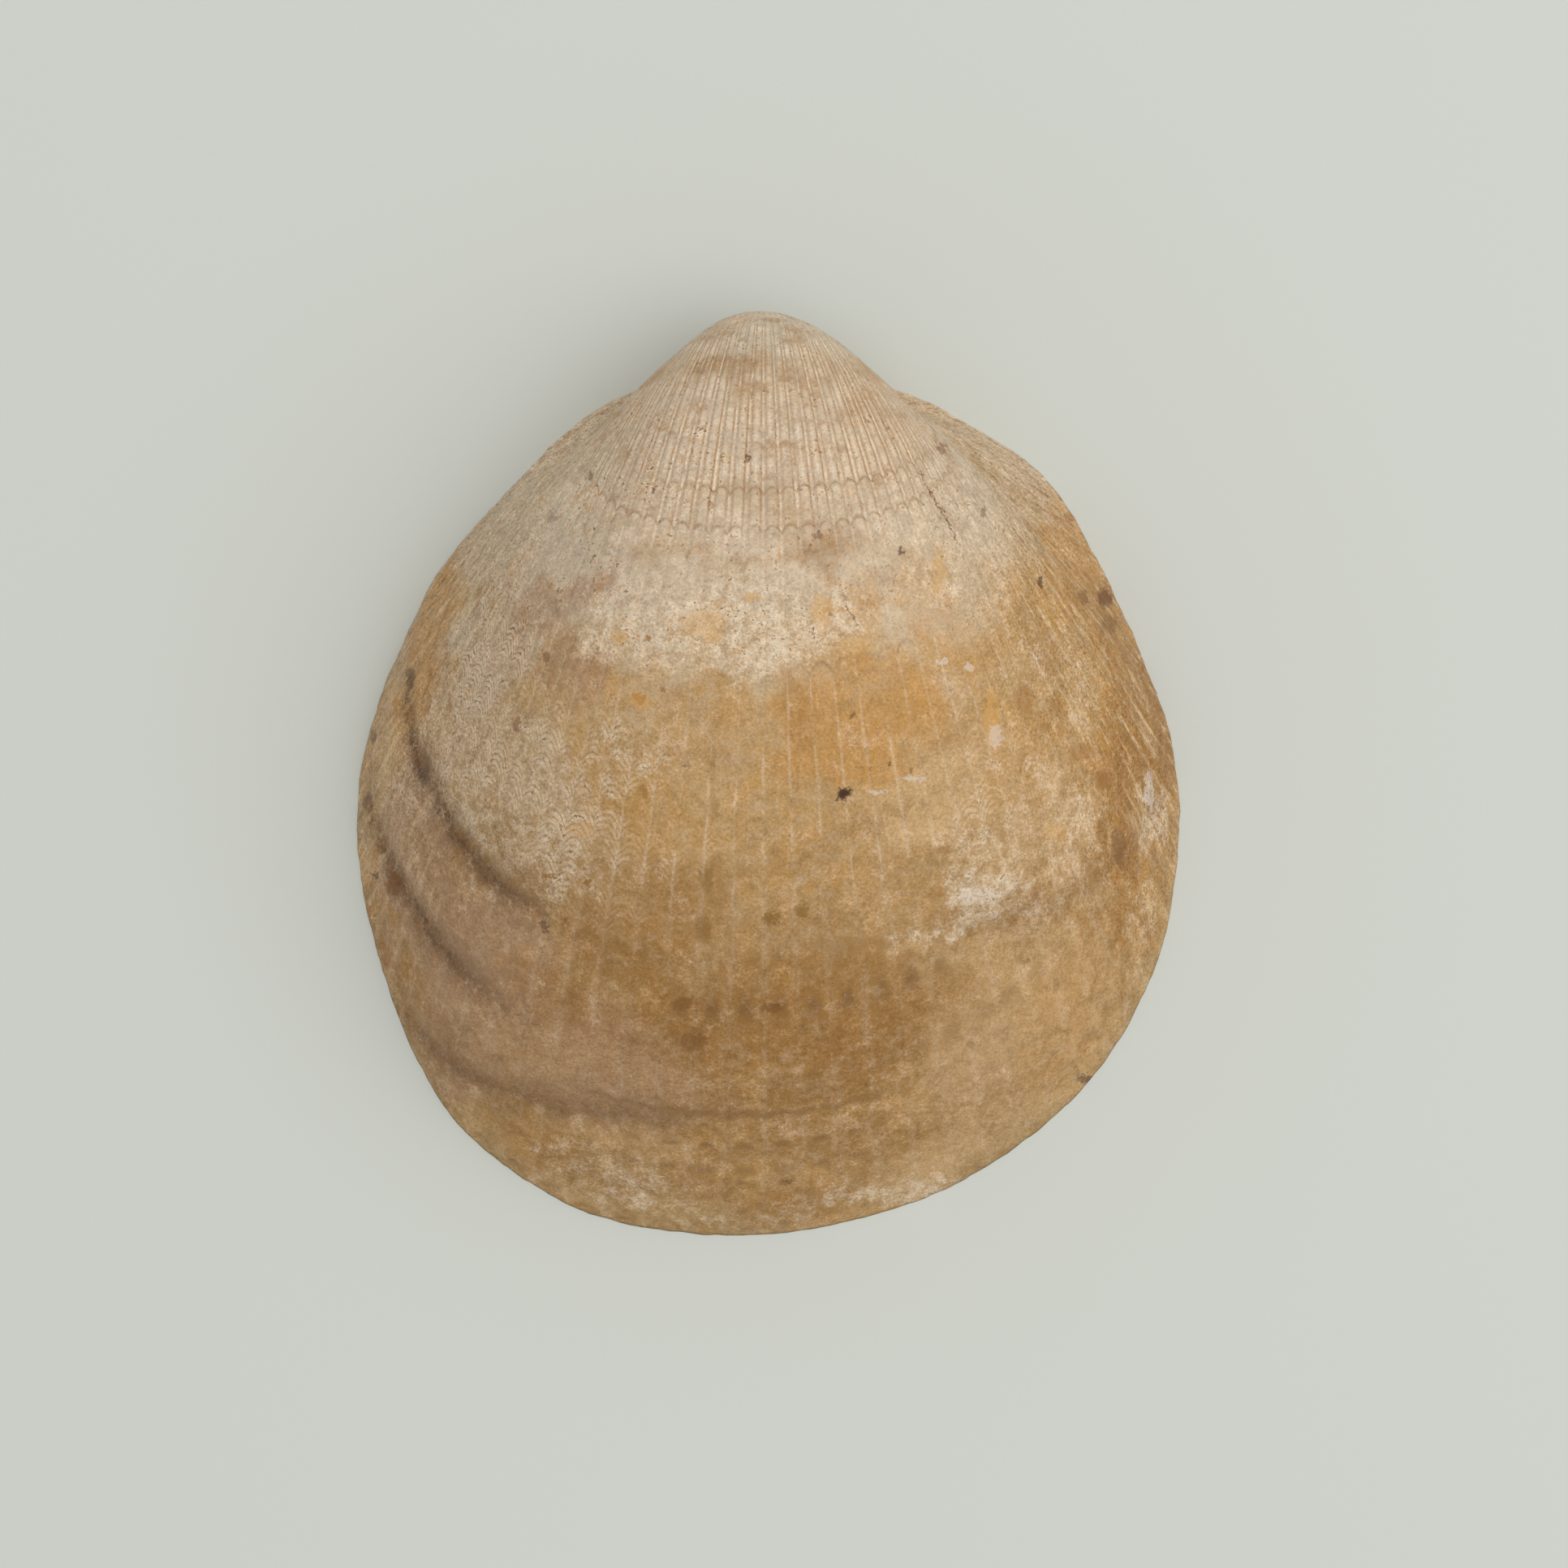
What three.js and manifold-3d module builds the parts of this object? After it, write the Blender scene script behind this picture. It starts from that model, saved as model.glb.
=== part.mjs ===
import * as THREE from 'three';
import { mergeVertices } from 'three/addons/utils/BufferGeometryUtils.js';
import Module from 'manifold-3d';

// One valve of a bittersweet clam, worn by the sea. All sizes are in millimetres.
// It lies on its margin: the margin is at z = 0, the outside faces up, the beak points to +Y.
// The shell is one growth rule: every earlier stage of its margin is the margin of today made
// smaller and turned about the X direction at one point, the pole, inside the beak.

const pole = new THREE.Vector3(-0.3, 24.9, 2.0);
const shrinking = 0.85; // how fast a stage shrinks for each radian of turn, at the margin
const moreShrinking = 0.13; // how much that rate itself grows for each radian
const umboBreadth = 0.45; // how much broader than the margin the middle stages are
const umboNarrowing = 0.45; // how much of that breadth the beak loses again
const beakTurn = THREE.MathUtils.degToRad(180); // the turn at which the beak ends

// The margin, clockwise from the middle of the hinge line.
const marginPoints = [
  [-0.2, 24.1],
  [3.6, 24.1],
  [7.9, 23.7],
  [12.4, 21.6],
  [16.8, 18.5],
  [19.8, 14.1],
  [23.0, 7.3],
  [24.9, 1.5],
  [25.2, -4.0],
  [24.1, -11.0],
  [20.1, -18.4],
  [13.6, -24.0],
  [5.6, -27.3],
  [-3.1, -28.3],
  [-11.9, -26.6],
  [-19.2, -21.4],
  [-23.3, -13.5],
  [-25.3, -4.6],
  [-24.7, 2.4],
  [-21.9, 9.5],
  [-19.4, 13.8],
  [-12.5, 21.1],
  [-7.9, 23.8],
  [-4.0, 24.1],
];
const rightShoulder = 2 / marginPoints.length; // the places on the margin where the fan of ribs
const leftShoulder = 22 / marginPoints.length; // ends and the hinge begins

const ribsEachSide = 29;
const ribPitch = THREE.MathUtils.degToRad(2.65); // angle between ribs, seen from the pole
const furrowDepth = 0.16; // between two ribs, at the margin
const hingeColumns = 14; // columns of faces along the hinge, between the outermost ribs

// Ledges left by pauses in growth. Each runs along a growth stage of this size, bends towards the
// margin on the flanks, and is deepest at the fan angle given (degrees, left is negative).
const ledges = [
  { size: 0.69, bend: 0.2, depth: 0.3, middle: -38, spread: 24 },
  { size: 0.785, bend: 0.28, depth: 0.35, middle: -32, spread: 26 },
  { size: 0.86, bend: 0.44, depth: 0.35, middle: -16, spread: 30 },
  { size: 0.7, bend: 0.34, depth: 0.2, middle: 30, spread: 16 },
  { size: 0.366, bend: 0, depth: 0.16, middle: 0, spread: 34 },
];
const ledgeWidth = 0.035; // as a share of the size of the shell
const smoothEdge = 0.04; // the relief fades out over this share next to the margin

const rimWidth = 2.1; // the flat edge that the valve lies on
const notchDepth = 0.45; // notches along the inner side of that edge, one to a rib
const wallGain = 2.7; // how much thicker the wall grows from the margin to the umbo
const hingeDepth = 5.6; // the hinge plate, from its back edge to the cavity
const hingeFan = [58, 79]; // fan angles between which the edge widens into the hinge plate
const cavityMiddle = new THREE.Vector3(-0.4, 3.5, 0); // the wall thickens towards this point
const cavityTurns = [0, 3, 10, 20, 31, 43, 55, 66]; // degrees, the stages of the inner surface
const cavityEnd = 80; // degrees, where the cavity closes under the umbo

const teethEachSide = 11;
const toothPitch = 1.32; // along the margin
const toothGap = 0.62; // width of the socket between two teeth
const toothHeight = 0.95;
const toothLengths = [1.5, 3.3]; // in the middle of the hinge and at the sides
const toothRow = 2.9; // from the back edge of the hinge plate to the middle of the teeth

const outerStages = 24; // rows of faces from the margin to the beak
const stageCrowding = 1.5; // above 1 the rows lie closer together near the margin

const margin = new THREE.CatmullRomCurve3(
  marginPoints.map(([x, y]) => new THREE.Vector3(x, y, 0)),
  true,
  'catmullrom',
);

function stageSize(turn) {
  return Math.exp(-turn * (shrinking + (moreShrinking * turn) / 2));
}

// The point at an earlier stage of growth that became this point of the margin.
function grown(point, turn) {
  const size = stageSize(turn);
  const breadth = size * (1 + umboBreadth * size ** umboNarrowing * (1 - size));
  const from = point.clone().sub(pole);
  return new THREE.Vector3(
    pole.x + breadth * from.x,
    pole.y + size * (from.y * Math.cos(turn) + from.z * Math.sin(turn)),
    pole.z + size * (from.z * Math.cos(turn) - from.y * Math.sin(turn)),
  );
}

// The angle of a margin point seen from the pole: 0 faces the far margin, the right is positive.
function fanAngle(point) {
  return Math.atan2(point.x - pole.x, pole.y - point.y);
}

// The place on the margin where the fan angle has a given value, found by halving.
function placeOfFan(angle) {
  let right = rightShoulder;
  let left = leftShoulder;
  for (let i = 0; i < 40; i++) {
    const middle = (right + left) / 2;
    if (fanAngle(margin.getPoint(middle)) > angle) right = middle;
    else left = middle;
  }
  return right;
}

function columnAt(place, ridge) {
  const point = margin.getPoint(place % 1);
  return { point, tangent: margin.getTangent(place % 1), fan: fanAngle(point), ridge };
}

// Columns go clockwise. Furrows and ridges take turns over the fan, the hinge has neither.
function makeColumns() {
  const columns = [];
  const halfPitches = 2 * ribsEachSide;
  for (let i = halfPitches; i >= -halfPitches; i--) {
    columns.push(columnAt(placeOfFan((i * ribPitch) / 2), i % 2 ? 1 : 0));
  }
  const start = placeOfFan(-ribsEachSide * ribPitch);
  const end = placeOfFan(ribsEachSide * ribPitch) + 1;
  for (let i = 1; i <= hingeColumns; i++) {
    const place = THREE.MathUtils.lerp(start, end, i / (hingeColumns + 1));
    columns.push({ ...columnAt(place, 1), onHinge: true });
  }
  return columns;
}

// How far the surface lies below the plain growth rule.
function wear(column, size) {
  if (column.onHinge) return 0;
  let depth = furrowDepth * size * (1 - column.ridge);
  for (const ledge of ledges) {
    const place = ledge.size + ledge.bend * column.fan ** 2;
    const across = (size - place) / ledgeWidth;
    const along = (column.fan - THREE.MathUtils.degToRad(ledge.middle)) /
      THREE.MathUtils.degToRad(ledge.spread);
    depth += ledge.depth * Math.exp(-(across ** 2) - along ** 2);
  }
  return depth * Math.min(1, (1 - size) / smoothEdge);
}

function outerPoint(column, turn) {
  const step = 0.01;
  const point = grown(column.point, turn);
  const ahead = column.point.clone().addScaledVector(column.tangent, step);
  const along = grown(ahead, turn).sub(point);
  const upward = grown(column.point, turn + step).sub(point);
  const outward = upward.cross(along).normalize();
  return point.addScaledVector(outward, -wear(column, stageSize(turn)));
}

// Thickness of the wall at a stage, measured from the outside towards the middle of the cavity.
function wallThickness(column, turn) {
  const size = stageSize(turn);
  const fan = THREE.MathUtils.radToDeg(Math.abs(column.fan));
  const onHinge = column.onHinge ? 1 : THREE.MathUtils.smoothstep(fan, ...hingeFan);
  const notch = turn === 0 ? notchDepth * column.ridge * (1 - onHinge) : 0;
  const plainWall = rimWidth - notch + wallGain * (1 - size);
  return THREE.MathUtils.lerp(plainWall, hingeDepth * Math.sqrt(size), onHinge);
}

function innerPoint(column, turn) {
  const point = grown(column.point, turn);
  const inward = grown(cavityMiddle, turn).sub(point).normalize();
  return point.addScaledVector(inward, wallThickness(column, turn));
}

// One closed surface through a row of rings, with a point at each end.
function surfaceThrough(rings, firstPoint, lastPoint) {
  const width = rings[0].length;
  const points = [firstPoint, ...rings.flat(), lastPoint];
  const faces = [];
  for (let j = 0; j < width; j++) {
    const next = (j + 1) % width;
    faces.push(0, 1 + next, 1 + j);
    for (let i = 0; i + 1 < rings.length; i++) {
      const near = 1 + i * width;
      const far = near + width;
      faces.push(near + j, near + next, far + next);
      faces.push(near + j, far + next, far + j);
    }
    const last = 1 + (rings.length - 1) * width;
    faces.push(last + j, last + next, points.length - 1);
  }
  const geometry = new THREE.BufferGeometry().setFromPoints(points);
  geometry.setIndex(faces);
  return geometry;
}

// The beak, the outside down to the margin, the flat edge, and the inside up into the umbo.
function shellSurface() {
  const columns = makeColumns();
  const rings = [];
  for (let i = outerStages; i >= 0; i--) {
    const turn = beakTurn * (i / outerStages) ** stageCrowding;
    rings.push(columns.map((column) => outerPoint(column, turn)));
  }
  for (const degrees of cavityTurns) {
    const turn = THREE.MathUtils.degToRad(degrees);
    rings.push(columns.map((column) => innerPoint(column, turn)));
  }
  const beakTip = grown(cavityMiddle, beakTurn + 0.3);
  const cavityTip = grown(cavityMiddle, THREE.MathUtils.degToRad(cavityEnd));
  return surfaceThrough(rings, beakTip, cavityTip);
}

// The sockets between the teeth fan out from the middle of the cavity.
function socketBoxes() {
  const length = margin.getLength();
  const boxes = [];
  for (const side of [-1, 1]) {
    for (let i = 0; i < teethEachSide; i++) {
      const place = (side * toothPitch * (i + 0.5)) / length;
      const edge = margin.getPointAt((place + 1) % 1);
      const inward = cavityMiddle.clone().sub(edge).normalize();
      const share = THREE.MathUtils.smoothstep(i, 0, teethEachSide / 2);
      const box = new THREE.BoxGeometry(
        toothGap,
        THREE.MathUtils.lerp(...toothLengths, share),
        2 * toothHeight,
      );
      box.rotateZ(Math.atan2(-inward.x, inward.y));
      box.translate(edge.x + inward.x * toothRow, edge.y + inward.y * toothRow, 0);
      boxes.push(box);
    }
  }
  return boxes;
}

const wasm = await Module();
wasm.setup();

function toSolid(geometry) {
  const plain = geometry.clone();
  plain.deleteAttribute('normal');
  plain.deleteAttribute('uv');
  const merged = mergeVertices(plain, 1e-4);
  const mesh = new wasm.Mesh({
    numProp: 3,
    vertProperties: new Float32Array(merged.attributes.position.array),
    triVerts: new Uint32Array(merged.index.array),
  });
  return new wasm.Manifold(mesh);
}

function toGeometry(solid) {
  const { vertProperties, triVerts } = solid.getMesh();
  const geometry = new THREE.BufferGeometry();
  geometry.setAttribute('position', new THREE.BufferAttribute(vertProperties, 3));
  geometry.setIndex(new THREE.BufferAttribute(triVerts, 1));
  geometry.computeVertexNormals();
  return geometry;
}

function makeValve() {
  let solid = toSolid(shellSurface());
  for (const box of socketBoxes()) solid = solid.subtract(toSolid(box));
  const material = new THREE.MeshStandardMaterial({
    color: 0xb89468,
    roughness: 0.55,
    metalness: 0,
  });
  const valve = new THREE.Mesh(toGeometry(solid), material);
  valve.name = 'valve';
  return valve;
}

const clamShell = new THREE.Group();
clamShell.name = 'clam_shell';
clamShell.add(makeValve());

export default clamShell;
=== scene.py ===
from math import degrees, radians

import bpy
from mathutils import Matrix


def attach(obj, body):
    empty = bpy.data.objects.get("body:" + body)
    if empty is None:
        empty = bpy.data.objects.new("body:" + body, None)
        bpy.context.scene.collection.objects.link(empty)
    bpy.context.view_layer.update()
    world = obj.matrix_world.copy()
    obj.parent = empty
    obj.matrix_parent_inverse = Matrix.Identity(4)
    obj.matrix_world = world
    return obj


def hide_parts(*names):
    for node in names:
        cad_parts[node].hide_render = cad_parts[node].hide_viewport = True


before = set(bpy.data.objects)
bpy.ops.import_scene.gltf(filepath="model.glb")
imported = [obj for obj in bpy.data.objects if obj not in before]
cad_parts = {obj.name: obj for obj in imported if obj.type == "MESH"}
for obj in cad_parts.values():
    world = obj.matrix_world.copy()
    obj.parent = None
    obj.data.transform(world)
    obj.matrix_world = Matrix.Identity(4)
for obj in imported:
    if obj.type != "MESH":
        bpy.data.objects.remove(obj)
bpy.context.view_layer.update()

# One worn valve of a bittersweet clam, lying hollow side down and seen from straight above.
# Blender's units are metres. The shell's own sizes are written in millimetres, times mm.
mm = 0.001


def addObject(name, data):
    thing = bpy.data.objects.new(name, data)
    bpy.context.scene.collection.objects.link(thing)
    return thing


class Value:
    # A socket that Python arithmetic works on. Every operator adds a Math or a Vector Math node.
    def __init__(self, board, socket):
        self.board = board
        self.socket = socket
        self.isVector = socket.type in ("VECTOR", "RGBA")

    def __add__(self, other):
        return self.board.calculate("ADD", self, other)

    def __radd__(self, other):
        return self.board.calculate("ADD", other, self)

    def __sub__(self, other):
        return self.board.calculate("SUBTRACT", self, other)

    def __rsub__(self, other):
        return self.board.calculate("SUBTRACT", other, self)

    def __mul__(self, other):
        return self.board.calculate("MULTIPLY", self, other)

    def __rmul__(self, other):
        return self.board.calculate("MULTIPLY", other, self)

    def __truediv__(self, other):
        return self.board.calculate("DIVIDE", self, other)

    def __rtruediv__(self, other):
        return self.board.calculate("DIVIDE", other, self)

    def __pow__(self, other):
        return self.board.calculate("POWER", self, other)


class Board:
    # A node tree and the one way that this script adds a node to it.
    def __init__(self, tree):
        self.tree = tree

    def add(self, kind, settings=None, sockets=None):
        node = self.tree.nodes.new(kind)
        for name, value in (settings or {}).items():
            if name == "stops":
                self.setStops(node.color_ramp, value)
            else:
                setattr(node, name, value)
        for key, value in (sockets or {}).items():
            if isinstance(value, Value):
                self.tree.links.new(value.socket, node.inputs[key])
            else:
                node.inputs[key].default_value = value
        return node

    def get(self, kind, settings=None, sockets=None, output=0):
        return Value(self, self.add(kind, settings, sockets).outputs[output])

    def setStops(self, ramp, stops):
        while len(ramp.elements) < len(stops):
            ramp.elements.new(1.0)
        for element, (place, colour) in zip(ramp.elements, stops):
            element.position = place
            element.color = colour

    def calculate(self, operation, first, second):
        vectors = [v for v in (first, second) if isinstance(v, Value) and v.isVector]
        if not vectors:
            return self.math(operation, first, second)
        both = len(vectors) == 2 or isinstance(first, tuple) or isinstance(second, tuple)
        if operation == "MULTIPLY" and not both:
            number = second if vectors[0] is first else first
            settings = {"operation": "SCALE"}
            return self.get("ShaderNodeVectorMath", settings, {0: vectors[0], "Scale": number})
        return self.get("ShaderNodeVectorMath", {"operation": operation}, {0: first, 1: second})

    def math(self, operation, *values):
        return self.get("ShaderNodeMath", {"operation": operation}, dict(enumerate(values)))

    def step(self, value, low, high, atLow=0.0, atHigh=1.0):
        settings = {"interpolation_type": "SMOOTHSTEP"}
        sockets = {0: value, 1: low, 2: high, 3: atLow, 4: atHigh}
        return self.get("ShaderNodeMapRange", settings, sockets)

    def band(self, value, low, high, soft):
        # 1 between low and high, fading to 0 over soft at both ends
        rise = self.step(value, low - soft, low)
        return rise * self.step(value, high + soft, high)

    def bell(self, value, centre, width):
        # 1 at the centre, about a third one width away from it
        away = (value - centre) / width
        return self.math("EXPONENT", away * away * -1.0)

    def most(self, first, second):
        return self.math("MAXIMUM", first, second)

    def least(self, first, second):
        return self.math("MINIMUM", first, second)

    def join(self, x, y, z):
        return self.get("ShaderNodeCombineXYZ", None, {0: x, 1: y, 2: z})

    def split(self, vector):
        node = self.add("ShaderNodeSeparateXYZ", None, {0: vector})
        return [Value(self, node.outputs[i]) for i in range(3)]

    def dot(self, first, second):
        settings = {"operation": "DOT_PRODUCT"}
        return self.get("ShaderNodeVectorMath", settings, {0: first, 1: second}, "Value")

    def length(self, vector):
        settings = {"operation": "LENGTH"}
        return self.get("ShaderNodeVectorMath", settings, {0: vector}, "Value")

    def unit(self, vector):
        return self.get("ShaderNodeVectorMath", {"operation": "NORMALIZE"}, {0: vector})

    def paint(self, under, over, share, blend="MIX"):
        # the colour over laid on the colour under
        settings = {"data_type": "RGBA", "blend_type": blend}
        return self.get("ShaderNodeMix", settings, {0: share, 6: under, 7: over}, 2)

    def noise(self, place, scale, detail=2.0, roughness=0.5, output=0):
        # values lie round 0.5; scale is in cells for each unit of place
        sockets = {"Vector": place, "Scale": scale, "Detail": detail, "Roughness": roughness}
        return self.get("ShaderNodeTexNoise", None, sockets, output)


# The valve's sizes, the named inputs of its node tree. Every earlier stage of its margin is the
# margin of today made smaller and turned about the X direction at the pole, inside the beak.
clamValve = {
    "Pole": (-0.3 * mm, 24.9 * mm, 2.0 * mm),
    "Shrinking": 0.85,  # how fast a stage shrinks for each radian of turn, at the margin
    "More Shrinking": 0.13,  # how much that rate grows for each radian
    "Umbo Breadth": 0.45,  # how much broader than the margin the middle stages are
    "Umbo Narrowing": 0.45,  # how much of that breadth the beak loses again
    "Beak Turn": radians(180),  # the turn at which the beak ends
    "Rib Pitch": radians(2.65),  # between two ribs, seen from the pole
    "Rim Width": 2.1 * mm,  # the flat edge that the valve lies on
    "Notch Depth": 0.45 * mm,  # along the inner side of that edge, one to a rib
    "Wall Gain": 2.7 * mm,  # how much thicker the wall is at the umbo
    "Hinge Depth": 5.6 * mm,
    "Cavity Middle": (-0.4 * mm, 3.5 * mm, 0.0),  # the wall thickens towards this point
    "Cavity Turn": radians(80),  # the turn at which the cavity closes under the umbo
    "Columns": 480,  # faces round the shell
    "Outer Rows": 150,
    "Rim Rows": 10,
    "Inner Rows": 34,
    "Rib Depth": 0.07 * mm,
    "Growth Line Depth": 0.03 * mm,
    "Waviness": 0.16 * mm,
    "Scallop": 0.018,  # how far a growth line bulges on a rib, as a share of its stage
    "Teeth Each Side": 11,
    "Tooth Pitch": 1.32 * mm,
    "Tooth Row": 2.9 * mm,  # from the back edge to the middle of the teeth
    "Tooth Width": 0.74 * mm,
    "Tooth Height": 0.86 * mm,
    "Tooth Shortest": 1.5 * mm,
    "Tooth Longest": 3.4 * mm,
    "Tooth Socket Depth": 0.95 * mm,
}

# The margin, clockwise from the middle of the hinge line, in millimetres.
marginPoints = [
    (-0.2, 24.1), (3.6, 24.1), (7.9, 23.7), (12.4, 21.6), (16.8, 18.5), (19.8, 14.1),
    (23.0, 7.3), (24.9, 1.5), (25.2, -4.0), (24.1, -11.0), (20.1, -18.4), (13.6, -24.0),
    (5.6, -27.3), (-3.1, -28.3), (-11.9, -26.6), (-19.2, -21.4), (-23.3, -13.5), (-25.3, -4.6),
    (-24.7, 2.4), (-21.9, 9.5), (-19.4, 13.8), (-12.5, 21.1), (-7.9, 23.8), (-4.0, 24.1),
]

# Ledges left by pauses in growth: the stage they follow, how they bend towards the margin on the
# flanks, their depth and width, the fan angles they run between (degrees, left is negative), how
# softly they end there and how much dirt and painted shade they hold.
ledges = [
    {"size": 0.697, "bend": 0.19, "depth": 0.34, "width": 0.014,
     "fan": (-41, -23), "soft": 8, "dirt": 0.86},
    {"size": 0.788, "bend": 0.29, "depth": 0.38, "width": 0.015,
     "fan": (-36, -26), "soft": 9, "dirt": 0.8},
    {"size": 0.856, "bend": 0.50, "depth": 0.22, "width": 0.013,
     "fan": (-26, -12), "soft": 16, "dirt": 0.55},
    {"size": 0.700, "bend": 0.40, "depth": 0.12, "width": 0.016,
     "fan": (24, 36), "soft": 12, "dirt": 0.3},
    {"size": 0.334, "bend": 0.01, "depth": 0.09, "width": 0.006,
     "fan": (-10, 26), "soft": 20, "dirt": 0.0},
    {"size": 0.368, "bend": 0.01, "depth": 0.10, "width": 0.006,
     "fan": (-26, 26), "soft": 24, "dirt": 0.0},
]

# Where the worn surface differs in colour, seen from above: the middle (mm), the half lengths
# (mm), the strength and the turn (degrees) of each patch.
patches = {
    "chalk": [
        ((-2.4, 8.8), (8.4, 2.7), 1.0),
        ((-8.4, 9.2), (3.6, 2.6), 0.9, 20),
        ((1.6, 9.5), (3.8, 1.8), 0.6),
        ((-14.4, 15.8), (3.4, 3.0), 0.5, -40),
        ((-7.4, 18.4), (4.0, 3.4), 0.6),
        ((-11.8, 18.6), (3.0, 4.2), 0.8, -40),
        ((10.4, 13.6), (5.6, 3.4), 0.6, -55),
        ((13.0, -6.8), (2.6, 1.2), 1.0, 14),
        ((9.8, -9.0), (3.4, 0.5), 0.9, 16),
        ((15.0, -4.2), (5.6, 4.8), 0.45, 60),
        ((12.6, 17.2), (3.6, 2.2), 0.6, -45),
        ((16.6, 6.4), (5.6, 2.4), 0.2, -60),
        ((-15.4, -1.6), (7.2, 4.6), 0.6, -50),
        ((-12.8, -4.4), (3.2, 2.0), 0.7, -50),
        ((-8.6, 1.4), (1.8, 3.0), 0.55),
        ((-17.6, 5.4), (3.4, 1.5), 0.55, 60),
        ((-9.4, -24.8), (5.4, 1.8), 0.5, -18),
        ((-1.6, -27.2), (5.4, 0.8), 0.5, 2),
        ((7.2, -25.6), (5.4, 1.0), 0.75, 12),
        ((23.6, -2.4), (0.9, 2.2), 0.9),
        ((23.0, -8.0), (1.0, 1.8), 0.4),
        ((-21.6, 0.4), (1.4, 3.0), 0.45),
    ],
    "ochre": [
        ((5.9, 3.9), (4.6, 3.2), 1.0),
        ((4.2, 1.2), (4.4, 2.0), 1.0),
        ((5.8, 10.4), (1.4, 2.0), 0.5),
        ((10.6, 8.8), (3.4, 1.5), 0.6, -50),
        ((19.2, 14.0), (1.8, 4.2), 0.9, 28),
        ((1.9, 3.6), (1.5, 2.6), 0.7),
        ((-3.9, 9.0), (1.3, 0.9), 0.9),
        ((-20.9, 8.0), (1.6, 6.4), 0.9, -14),
        ((20.4, 11.0), (2.4, 6.8), 0.9, 24),
        ((22.4, 1.6), (3.0, 6.0), 1.0),
        ((22.0, -3.0), (2.2, 9.0), 0.7),
        ((6.4, 20.0), (3.2, 3.0), 0.3),
        ((13.6, 9.6), (2.4, 4.6), 0.4, -20),
        ((18.6, -14.6), (3.4, 5.4), 0.5, -30),
        ((15.6, 1.4), (2.2, 4.6), 0.55, -30),
        ((3.0, -26.6), (5.4, 1.6), 0.6),
        ((-14.0, -23.0), (4.4, 1.2), 0.5, -30),
    ],
    "mauve": [
        ((-21.6, -5.4), (2.2, 6.4), 0.9),
        ((-17.6, -10.8), (5.4, 3.8), 1.0, -50),
        ((-18.6, -15.6), (3.0, 5.0), 0.8, 20),
        ((-11.0, -17.2), (8.0, 3.6), 0.7, -20),
        ((-11.8, 6.6), (2.3, 2.7), 0.9),
        ((-13.2, 10.4), (4.4, 1.1), 0.8, 25),
        ((-7.4, 12.8), (1.8, 0.9), 0.5),
        ((4.8, 14.4), (2.0, 0.7), 0.4),
        ((12.6, -17.2), (6.0, 2.6), 0.3, 20),
    ],
    "brown": [
        ((2.2, -13.9), (11.0, 3.2), 0.76, 4),
        ((1.8, 3.6), (1.1, 2.6), 0.5),
        ((22.6, 2.4), (2.2, 6.0), 0.9),
        ((21.8, -9.4), (1.3, 2.6), 0.5),
        ((4.6, -14.6), (5.4, 1.7), 0.5, 6),
        ((-4.6, -15.8), (1.5, 2.2), 0.6),
        ((-13.8, -13.4), (4.2, 1.5), 0.6, -30),
        ((-23.6, -10.4), (0.9, 4.4), 0.8, 18),
        ((-20.9, 0.8), (0.6, 1.4), 0.7),
        ((21.5, -4.2), (0.8, 2.0), 0.7),
        ((-9.0, -9.6), (3.8, 2.2), 0.8, -20),
        ((-5.0, -8.2), (3.2, 3.2), 0.7),
        ((-8.0, -7.4), (8.0, 3.2), 0.4, -20),
        ((3.2, -9.6), (2.4, 1.2), 0.4),
        ((3.4, 13.2), (2.2, 1.3), 0.6),
        ((-0.6, 17.0), (3.0, 1.0), 0.5),
        ((20.4, 9.8), (1.0, 2.4), 0.7, 20),
        ((16.4, 8.0), (0.8, 2.2), 0.5, 28),
        ((-2.0, 24.6), (3.4, 0.7), 0.6),
        ((3.0, 24.4), (3.4, 0.8), 0.4),
        ((5.6, 21.8), (2.6, 0.9), 0.4),
        ((1.6, -26.6), (3.4, 1.4), 0.7),
    ],
    "pale": [
        ((15.6, -15.6), (8.0, 5.4), 0.9, 40),
        ((11.4, -18.6), (4.6, 2.6), 0.5, 20),
        ((9.4, -1.4), (3.6, 3.2), 0.9),
        ((14.6, -2.4), (5.0, 5.6), 0.8, 30),
        ((-22.6, -1.0), (1.8, 7.0), 0.8, 8),
        ((-19.0, 12.2), (2.4, 4.6), 0.9, -30),
        ((-10.0, -21.4), (5.0, 2.0), 0.6, -18),
        ((4.6, 7.4), (3.0, 2.4), 0.5),
        ((11.4, -11.6), (5.0, 2.6), 0.8),
        ((18.2, -6.4), (2.0, 2.0), 0.9),
        ((15.4, -9.6), (3.6, 1.6), 0.9),
        ((11.4, -23.0), (5.4, 1.6), 0.8, 28),
    ],
    "ash": [
        ((-13.4, 13.4), (5.2, 4.4), 1.0, -30),
        ((-16.8, 7.8), (2.8, 5.0), 0.9, -25),
        ((-16.6, 0.6), (4.6, 4.8), 0.55),
        ((-8.6, 16.6), (4.0, 2.6), 0.3),
        ((-12.8, -3.8), (4.2, 3.0), 0.4, -45),
        ((13.6, 16.0), (4.4, 3.6), 0.6, -50),
        ((10.8, 5.6), (1.8, 1.8), 0.35),
        ((-22.4, -4.0), (1.6, 5.0), 0.5),
    ],
    "scar": [
        ((-16.6, 8.0), (3.0, 4.6), 1.0, -30),
        ((16.4, 7.6), (3.2, 4.4), 1.0, 30),
    ],
}


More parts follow.
